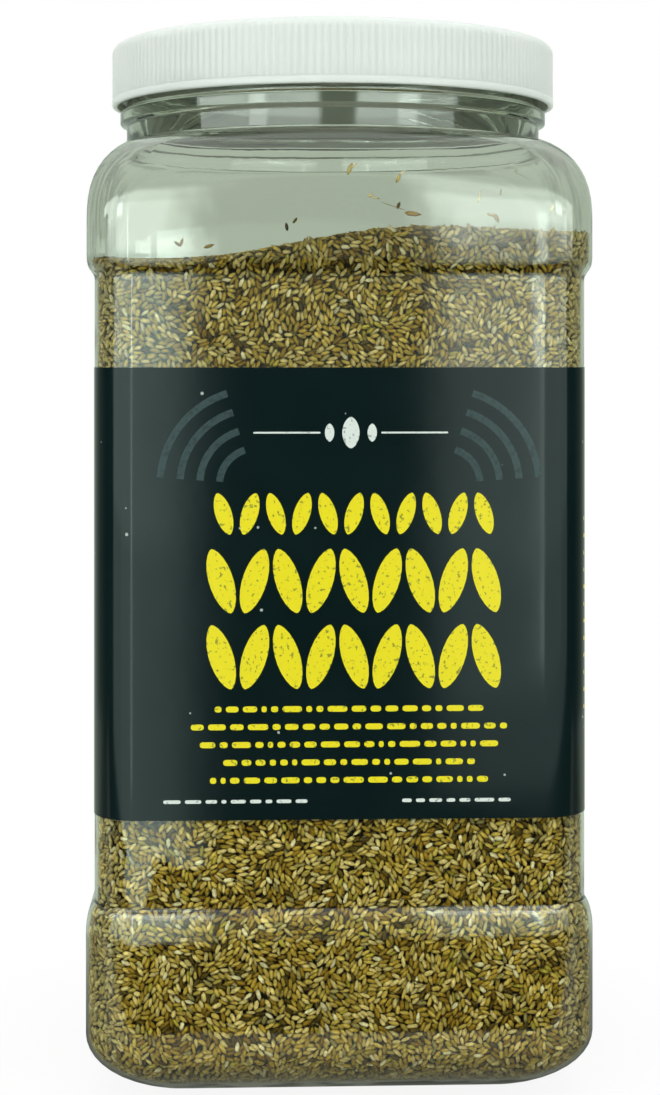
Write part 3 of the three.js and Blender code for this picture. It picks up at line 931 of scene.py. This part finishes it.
def lay_grains(name, points, level, rising, outward, angle, tilt, size, depth, material, painted_shading=1,
               shape=FINE_GRAIN, kind=None):
    """Grains at points on a sheet: turned by angle in it, tilted out of it, and sunk by depth."""
    heading = turned(level, rising, angle)
    axis = turned(heading, outward, tilt)
    roll = random.uniform(-0.5, 0.5, len(points))
    side = np.cross(outward, heading)
    up = np.cross(axis, side)
    side, up = turned(side, up, roll), turned(up, -side, roll)
    centre = points - outward * depth[:, None]
    mesh_points, triangles = grain_mesh(shape, centre, axis, side, up, size)
    # The shading factor scales each grain's colour: painted light above 1, painted shade below it.
    tone = grain_tones(points, outward, shape, painted_shading, kind)
    make_piece(name, mesh_points, [triangles], material, "seed", tone=tone)


def wall_layer(wall, low, high, area, rounds, seed):
    """Grains over a band of the wall, from one height up the sheet to another."""
    at = scattered(wall.around, high - low, area)
    at[:, 1] += low
    at = at[random.uniform(0, 1, len(at)) < wall.stretch(at[:, 1])]
    angle = swirl(at[:, 0], at[:, 1], seed) + random.normal(0, WALL_TURN, len(at))
    size = sizes_for(len(at))
    if rounds:
        at, angle = settle(at, angle, size, wall.stretch, rounds)
    at[:, 1] = np.clip(at[:, 1], 0.6, wall.up[-1] - 1)
    at[:, 0] -= wall.around / 2
    return at, angle, size


def lay_wall(band, wall, low, high, area, rounds, seed, sink, *look):
    """One layer of grains on the wall, as a front piece and a back piece. The look is the last
    arguments of lay_grains."""
    at, angle, size = wall_layer(wall, low, high, area, rounds, seed)
    points, level, rising, outward = wall.frames(at[:, 0], at[:, 1])
    inside = points[:, 2] < seed_level(*points[:, :2].T) - TOP_CLEARANCE
    tilt = random.normal(0, WALL_TILT, len(at))
    depth = sink + size[:, 2] / 2 + np.abs(tilt) * size[:, 0] / 2 + random.exponential(0.12, len(at))
    front = points[:, 1] < 0
    for half, chosen in (("front", inside & front), ("back", inside & ~front)):
        parts = [v[chosen] for v in (points, level, rising, outward, angle, tilt, size, depth)]
        lay_grains(f"seeds_{band}_{half}", *parts, *look)


def inside_walls(x, y, z, wall, inset):
    """Whether points are within the jar's inner wall, moved in by inset."""
    half = np.interp(z, wall.z, wall.half) - inset
    corner = np.interp(z, wall.z, wall.corner)
    across = np.maximum(np.abs(np.c_[x, y]) - (half - corner)[:, None], 0)
    return np.hypot(*across.T) < corner


def lay_top(name, wall, area, rounds, seed, sink, *look):
    """Grains over the sloping top of the filling, at more random tilts."""
    wide = 2 * UPPER[0]
    at = scattered(wide, wide, area)
    angle = swirl(at[:, 0], at[:, 1], seed) + random.normal(0, TOP_TURN, len(at))
    size = sizes_for(len(at))
    if rounds:
        at, angle = settle(at, angle, size, np.ones_like, rounds)
    x, y = (at - UPPER[0]).T
    z = seed_level(x, y)
    keep = inside_walls(x, y, z, wall, 1.0)
    x, y, z, angle, size = (v[keep] for v in (x, y, z, angle, size))
    count = len(x)
    slope = (seed_level(x + 0.5, y) - seed_level(x - 0.5, y))[:, None]
    level = unit(np.c_[np.ones(count), np.zeros(count), slope])
    rising = np.tile([0.0, 1.0, 0.0], (count, 1))
    outward = np.cross(level, rising)
    tilt = random.normal(0, TOP_TILT, count)
    depth = sink + random.uniform(-0.35, 0.5, count) + size[:, 2] / 2
    points = np.c_[x, y, z]
    lay_grains(name, points, level, rising, outward, angle, tilt, size, depth, *look)


def make_core(material):
    """The inside of the filling, just under its grains, painted dark as the shade between them."""
    levels = np.array(body_levels(WALL + CORE_DEPTH))
    levels = levels[(levels[:, 2] < CORE_TOP_Z) & (levels[:, 0] > FOOT[0])][::2]
    coarse = dict(face=8, turn=5)
    rings = [ring(square(h, h * 0.3, **coarse), push_up_z(h) + WALL + CORE_DEPTH)
             for h in (3.0, 12.0, 20.0, 27.0, 33.0)]
    rings += [ring(square(h, max(c, 4.0), **coarse), max(z, WALL + CORE_DEPTH)) for h, c, z in levels]
    for half in (59.3, 58.0, 52.0, 44.0, 35.0, 26.0, 17.0, 8.0, 2.0):
        outline = square(half, min(9.0, half * 0.4), **coarse)
        rings.append(np.c_[outline, seed_level(*outline.T) - CORE_DROP])
    make_piece("seed_core", *loft(rings), material, "seed", replaces=["seed_fill"])


# Loose grains, husks and an awn that cling to the front wall above the filling: x, height, turn,
# length, width and hull colour
CLINGING = (
    (1.9, 239.3, 1.2, 3.4, 1.2, 1), (3.0, 240.1, 0.7, 2.0, 0.7, 6), (14.2, 237.0, 1.1, 2.9, 1.0, 0),
    (15.2, 238.2, 0.7, 2.2, 0.7, 6), (8.2, 231.9, -0.2, 2.8, 0.6, 6), (7.0, 232.6, 0.5, 1.7, 0.5, 1),
    (13.0, 229.7, -0.32, 8.0, 0.16, 3), (14.2, 230.0, 1.2, 2.0, 0.9, 4),
    (17.8, 227.9, -0.12, 4.4, 1.35, 3), (34.7, 232.2, 1.35, 3.4, 0.8, 6),
    (40.2, 233.5, 1.4, 1.6, 0.6, 5), (39.1, 226.9, -1.1, 2.9, 1.2, 3),
    (37.9, 227.7, 0.2, 2.2, 0.5, 1), (53.3, 229.4, 1.2, 2.6, 0.7, 6),
    (-40.5, 220.6, 1.3, 2.2, 0.9, 3), (-12.0, 226.1, 0.9, 1.9, 0.8, 4),
    (-33.7, 219.6, 0.3, 2.8, 1.0, 3),
)
# And to the back wall: x, height, turn and hull colour
CLINGING_BACK = ((-46.0, 226.5, 0.6, 3), (-12.0, 232.0, 1.4, 4), (33.0, 230.0, -0.8, 3),
                 (52.0, 236.0, 0.3, 1))


def make_clinging(material):
    """Stray grains on the inside of the front wall and, fewer, of the back wall."""
    back = [(x, z, turn, *SEED_SIZE[:2], kind) for x, z, turn, kind in CLINGING_BACK]
    x, z, turn, long, wide, kind = np.array([*CLINGING, *back]).T
    front = np.arange(len(x)) < len(CLINGING)
    share = (z - SHOULDER_Z[0]) / (SHOULDER_Z[1] - WALL - SHOULDER_Z[0])
    share = np.maximum(share, 0.0) * front
    neck = np.sqrt((NECK_RADIUS - NECK_WALL) ** 2 - x * x)
    reach = lerp(UPPER[0] - WALL, neck, shoulder_fall(share))
    way = np.where(front, -1.0, 1.0)
    outward = unit(np.c_[np.zeros(len(x)), way, 0.25 * share])
    level = unit(np.cross([0.0, 0.0, 1.0], outward))
    size = np.c_[long, wide, np.where(front, 0.8 * wide, SEED_SIZE[2])]
    depth = 0.12 + size[:, 2] / 2 + np.where(np.abs(x) > 48, 0.6, 0.0)
    points, rising = np.c_[x, way * reach, z], np.cross(outward, level)
    lay_grains("seed_strays", points, level, rising, outward, turn, np.zeros(len(x)), size, depth,
               material, 1.2, kind=kind.astype(int))


def make_seed():
    hull, core = grain(), packed_grain()
    wall = Wall()
    rounds = SETTLE_ROUNDS
    top = wall.up_of(SEED_HIGH_Z + 4)
    bands = {"lower": (0.4, wall.up_of(BAND_LOW_TOP)), "upper": (wall.up_of(BAND_HIGH_BOTTOM), top)}
    for seed, (band, (low, high)) in enumerate(bands.items()):
        painted_shading = PAINTED_BAND_LIGHT[band]
        lay_wall(band, wall, low, high, SEED_AREA, rounds, seed, SEED_GAP, hull, painted_shading)
        # The deep layer fills the gaps with grains at half brightness, as painted shade.
        lay_wall(f"{band}_deep", wall, low, high, DEEP_AREA, 0, seed + 4, 0.85, hull, 0.5 * painted_shading,
                 PLAIN_GRAIN)
    # The top's grains are coloured a little darker, and its deep layer at half brightness as painted
    # shade.
    lay_top("seeds_top", wall, SEED_AREA, rounds, 8, 0.0, hull, 0.85)
    lay_top("seeds_top_deep", wall, DEEP_AREA, 0, 9, 0.9, hull, 0.5, PLAIN_GRAIN)
    make_clinging(hull)
    make_core(core)


# ---- Floor, world, lights and camera, in metres ----

FLOOR_RADII = (0.03, 0.12, 0.32, 0.62)
FLOOR_FADE = (0.06, 0.15)  # from the jar's axis, the floor turns to the backdrop's white
# How bright the floor is in reflections, along +Y from this far in front of the jar
FLOOR_AHEAD = 0.5
FLOOR_BANDS = [(0.369, (0.03, 0.03, 0.025)), (0.374, (0.46, 0.47, 0.40)),
               (0.415, (0.42, 0.43, 0.37)), (0.44, (0.16, 0.17, 0.14)),
               (0.52, (0.16, 0.17, 0.14)), (0.66, (0.50, 0.58, 0.48))]


def floor_material():
    """Pale to the camera, plain to the light that bounces off it, and banded in reflections."""
    material = bpy.data.materials.new("floor")
    floor = Graph(material)
    inputs = {"Value": floor.length(floor.coords), "From Min": FLOOR_FADE[0],
              "From Max": FLOOR_FADE[1], "To Min": 0.9}
    fade = floor.add("MapRange", inputs, interpolation_type="SMOOTHSTEP")
    pale = floor.add("BsdfDiffuse", {"Color": floor.blend(floor.noise(300.0), grey(0.86), grey(0.9))})
    near = floor.mix_shaders(fade, pale, floor.add("Emission", {}))
    ahead = floor.math("ADD", floor.part("Y"), FLOOR_AHEAD)
    bands = floor.add("Emission", {"Color": floor.ramp(ahead, FLOOR_BANDS)})
    plain = floor.add("BsdfDiffuse", {"Color": (0.80, 0.80, 0.76, 1)})
    floor.add("OutputMaterial", {"Surface": floor.by_ray(plain, Glossy=bands, Camera=near)})
    return material


def make_floor():
    points, (bands, middle, _) = loft([round_ring(r, 0.0, FLOOR_SIDES) for r in FLOOR_RADII])
    mesh = bpy.data.meshes.new("floor")
    faces = [*bands[:, ::-1].tolist(), *middle[:, ::-1].tolist()]
    mesh.from_pydata(points[:-1].tolist(), [], faces)
    mesh.materials.append(floor_material())
    add_object("floor", mesh)


def make_world():
    """White to the camera, pale through the jar, and mostly dark in its reflections."""
    world = bpy.data.worlds.new("studio")
    scene.world = world
    sky = Graph(world, output="Generated")
    above = sky.ramp(sky.part("Z"), [(0.12, grey(0.02)), (0.4, grey(0.4)), (0.85, grey(1.2))])
    behind = sky.ramp(sky.part("Y"), [(0.0, grey(0.0)), (0.5, (0.20, 0.24, 0.19)),
                                      (0.85, (0.52, 0.62, 0.52))])
    room = sky.mix(1.0, above, behind, "LIGHTEN")
    reflected, lit, through, seen = [
        sky.add("Background", {"Color": colour})
        for colour in (room, (0.60, 0.64, 0.60, 1), (0.44, 0.50, 0.41, 1), (1, 1, 1, 1))]
    result = sky.by_ray(lit, Glossy=reflected, Transmission=through, Camera=seen)
    sky.add("OutputWorld", {"Surface": result})


def soft_box(name, place, target, width, height, radiance, reflected=False, colour=(1, 1, 1)):
    """A rectangular area light, facing a target, hidden from the camera. It is either seen in
    reflections only, or lights surfaces without being seen in them."""
    light = bpy.data.lights.new(name, "AREA")
    light.shape = "RECTANGLE"
    light.size, light.size_y = width, height
    light.energy = radiance * math.pi * width * height
    light.color = colour
    lamp = add_object(name, light)
    lamp.location = place
    x, y, z = np.subtract(place, target)
    lamp.rotation_euler = (math.atan2(math.hypot(x, y), z), 0, math.atan2(y, x) + math.pi / 2)
    lamp.visible_camera = False
    lamp.visible_transmission = lamp.visible_glossy = reflected
    lamp.visible_diffuse = not reflected
    return light


# Upright lights in front, whose reflections wash the clear plastic. Each is given by its ends in
# plan, left one first, how far each end fades, and its radiance at rising heights.
WINDOWS = {
    "left": (
        (-0.3, -0.291), (-0.035, -0.3175), (0, 0.024),
        ((0, 1.5), (0.115, 1.5), (0.125, 2), (0.215, 2), (0.232, 4), (0.288, 4), (0.3, 2.9),
         (0.338, 2.9), (0.362, 0))),
    "left_far": (
        (-0.56, -0.265), (-0.3, -0.291), (0, 0),
        ((0, 1.3), (0.115, 1.3), (0.125, 2), (0.24, 2), (0.26, 4), (0.365, 4), (0.38, 0))),
    "left_edge": ((-0.9, -0.231), (-0.56, -0.265), (0, 0), ((0.295, 4), (0.38, 4))),
    "left_streak": (
        (-0.149, -0.3), (-0.129, -0.301), (0.008, 0.008), ((0.03, 3.6), (0.25, 3.6), (0.27, 0))),
    "left_glow": (
        (-0.285, -0.284), (-0.19, -0.29), (0.02, 0.02),
        ((0.25, 0), (0.262, 3.6), (0.296, 3.6), (0.31, 0))),
    "right": (
        (0.032, -0.275), (0.33, -0.275), (0.022, 0),
        ((0.035, 0.8), (0.065, 0.8), (0.075, 1.1), (0.115, 1.1), (0.125, 1.4), (0.23, 1.4),
         (0.245, 4.1), (0.283, 4.1), (0.295, 2.3), (0.33, 2.3), (0.36, 0))),
    "right_far": (
        (0.33, -0.275), (0.6, -0.275), (0, 0.06),
        ((0.035, 0.8), (0.115, 0.8), (0.125, 1.3), (0.24, 1.3), (0.26, 3), (0.345, 3),
         (0.365, 0))),
    "right_streak": (
        (0.076, -0.27), (0.093, -0.27), (0.007, 0.007), ((0.08, 2.6), (0.25, 2.6), (0.27, 0))),
    "right_glow": (
        (0.145, -0.27), (0.24, -0.27), (0.02, 0.02),
        ((0.25, 0), (0.262, 3.4), (0.296, 3.4), (0.31, 0))),
}
WINDOW_COLOURS = ((0.78, 1.0, 0.94), (0.89, 1.0, 0.92))  # below and above WINDOW_TOP_Z
WINDOW_TOP_Z = 0.22
SHARP_FADE = 0.0001
RAMP_SCALE = 8.0  # the radiance that a ramp's full value stands for

# The lights that light surfaces, with their place, target, width, height and radiance
SOFT_BOXES = (
    ("overhead", (0.0, -0.35, 1.3), (0, 0, 0.1), 1.1, 0.9, 2.0),
    ("behind", (0.0, 1.2, 0.5), (0, 0, 0.24), 1.6, 0.8, 1.6),
    ("side_left", (-1.2, 0.35, 0.4), (0, 0, 0.12), 0.9, 0.8, 1.0),
    ("side_right", (1.2, 0.35, 0.4), (0, 0, 0.12), 0.9, 0.8, 1.0),
    ("fill_left", (-0.75, -0.9, 0.45), (0, 0, 0.12), 0.8, 0.8, 1.7),
    ("fill_right", (0.75, -0.9, 0.45), (0, 0, 0.12), 0.8, 0.8, 1.5),
)


def make_window(name, start, end, fades, profile):
    """A reflected light whose radiance follows a profile in height and fades towards its ends."""
    (x0, y0), (x1, y1), low, high = start, end, profile[0][0], profile[-1][0]
    place = ((x0 + x1) / 2, (y0 + y1) / 2, (low + high) / 2)
    target = (place[0] - (y1 - y0), place[1] + (x1 - x0), place[2])
    wide = math.hypot(x1 - x0, y1 - y0)
    light = soft_box(name, place, target, wide, high - low, 1.0, reflected=True)
    graph = Graph(light, "NewGeometry", "Parametric")
    stops = [((z - low) / (high - low),
              radiance / RAMP_SCALE * np.array(WINDOW_COLOURS[z > WINDOW_TOP_Z]))
             for z, radiance in profile]
    left, right = (max(fade, SHARP_FADE) / wide for fade in fades)
    across = [(0.0, grey(0)), (left, grey(1)), (1 - right, grey(1)), (1.0, grey(0))]
    share = graph.ramp(graph.part("X"), across, "EASE")
    emission = graph.add("Emission", {"Color": graph.ramp(graph.part("Y"), stops),
                                      "Strength": graph.math("MULTIPLY", share, RAMP_SCALE)})
    graph.add("OutputLight", {"Surface": emission})


def make_lights():
    for name, window in WINDOWS.items():
        make_window(f"window_{name}", *window)
    # This one lies in front of the foot and faces up
    soft_box("window_foot", (-0.13, -0.275, 0.002), (-0.13, -0.275, 1.0), 0.07, 0.14, 1.3, True,
             WINDOW_COLOURS[0])
    for box in SOFT_BOXES:
        soft_box(*box)


CAMERA_LENS = 69.7
CAMERA_SHIFT = (-0.0023, -0.1796)
CAMERA_PLACE = (-0.0229, -0.5996, 0.1932)
CAMERA_TURN = -0.0381


def make_camera():
    camera = bpy.data.cameras.new("camera")
    camera.lens = CAMERA_LENS
    camera.sensor_width = 36.0
    camera.shift_x, camera.shift_y = CAMERA_SHIFT
    view = add_object("camera", camera)
    view.location = CAMERA_PLACE
    view.rotation_euler = (math.pi / 2, 0, CAMERA_TURN)
    scene.camera = view
    scene.view_settings.view_transform = "Standard"


make_camera()
make_world()
make_lights()
make_floor()
make_jar(clear_plastic())
white = white_plastic()
make_lid(white)
make_lid_thread(white)
make_liner(foam())
make_label(label_film())
make_prints()
make_seed()
